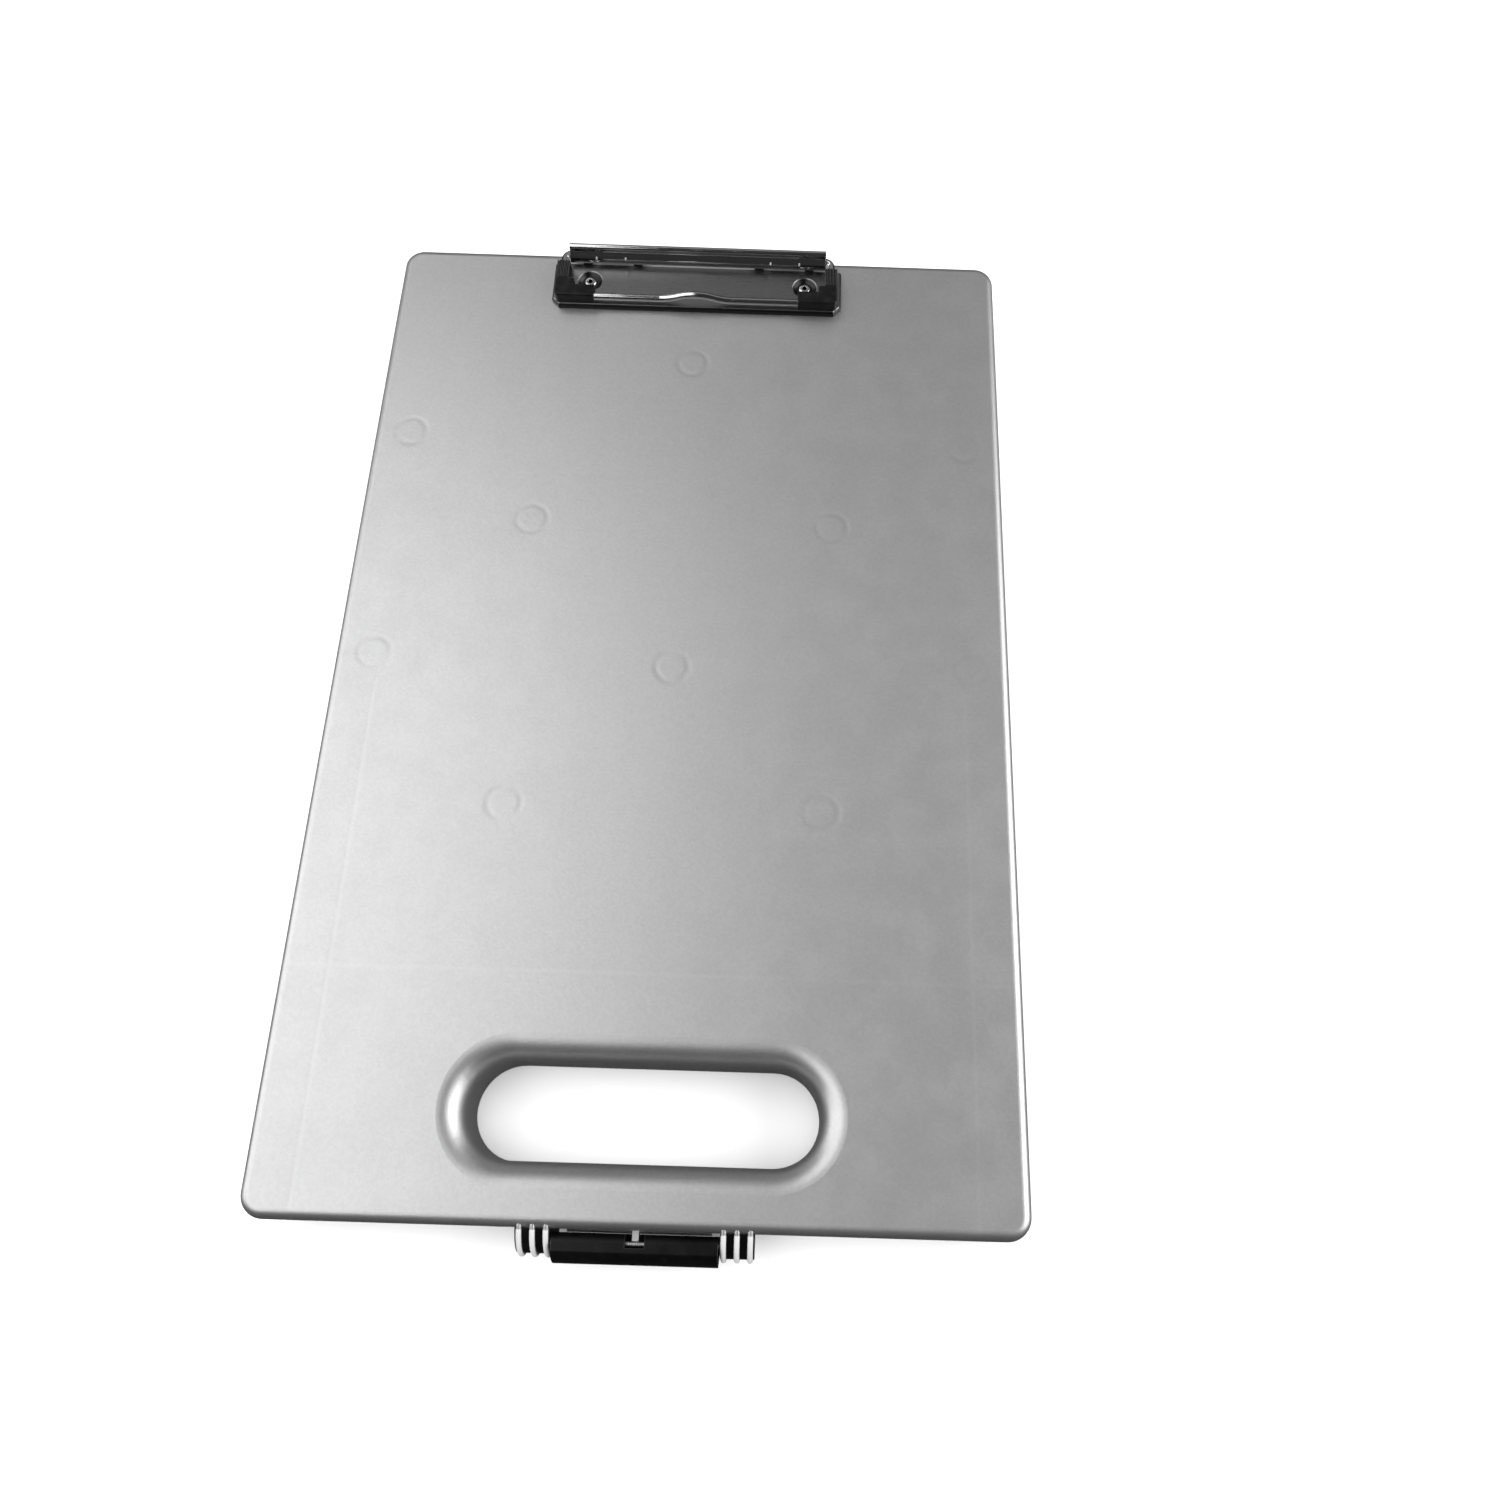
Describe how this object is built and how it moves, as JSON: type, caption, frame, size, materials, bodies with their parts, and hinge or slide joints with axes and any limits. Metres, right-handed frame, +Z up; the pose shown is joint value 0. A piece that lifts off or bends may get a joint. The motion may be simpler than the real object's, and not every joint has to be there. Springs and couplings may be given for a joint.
{
  "type": "storage clipboard",
  "caption": "Flat hinged storage case with a carrying slot and a latch, carrying a low-profile wire clip with a thumb lever on its lid.",
  "frame": {"origin": "centre of the tray's flat underside", "axes": "+Z up out of the writing surface, +Y towards the hinge and the clip, -Y towards the handle slot and the latch, X across the case"},
  "size_m": [0.254, 0.4101, 0.039],
  "materials": {
    "silver_plastic": "fine grained metallic silver",
    "black_plastic": "semi gloss black",
    "black_rubber": "semi gloss black rubber",
    "nickel_steel": "bright nickel plated steel",
    "satin_steel": "satin nickel plated pressing",
    "pin_steel": "drawn steel"
  },
  "bodies": {
    "tray": {"tray_shell": "silver_plastic", "hinge_pin_left": "pin_steel", "hinge_pin_right": "pin_steel"},
    "lid": {"lid_shell": "silver_plastic", "latch_block_left": "black_plastic", "latch_block_right": "black_plastic", "latch_pin": "pin_steel", "clip_base_plate": "satin_steel", "clip_rivet_left": "nickel_steel", "clip_rivet_right": "nickel_steel", "rivet_washer_left": "pin_steel", "rivet_washer_right": "pin_steel"},
    "latch": {"latch_flap": "black_plastic"},
    "jaw": {"bail_wire": "nickel_steel", "corner_grip_left": "black_rubber", "corner_grip_right": "black_rubber", "thumb_lever": "nickel_steel", "torsion_spring_left": "pin_steel", "torsion_spring_right": "pin_steel"}
  },
  "joints": [
    {"name": "lid_hinge", "type": "hinge", "parent": "tray", "child": "lid", "pos_m": [0, 0.1999, 0.015], "axis": [-1, 0, 0], "range_deg": [0, 110]},
    {"name": "latch_pivot", "type": "hinge", "parent": "lid", "child": "latch", "pos_m": [0, -0.2001, 0.0215], "axis": [-1, 0, 0], "range_deg": [0, 90]},
    {"name": "clip_pivot", "type": "hinge", "parent": "lid", "child": "jaw", "pos_m": [0, 0.191, 0.0328], "axis": [-1, 0, 0], "range_deg": [0, 25], "stiffness_Nm_per_rad": 0.5, "springref_deg": -40.11}
  ]
}
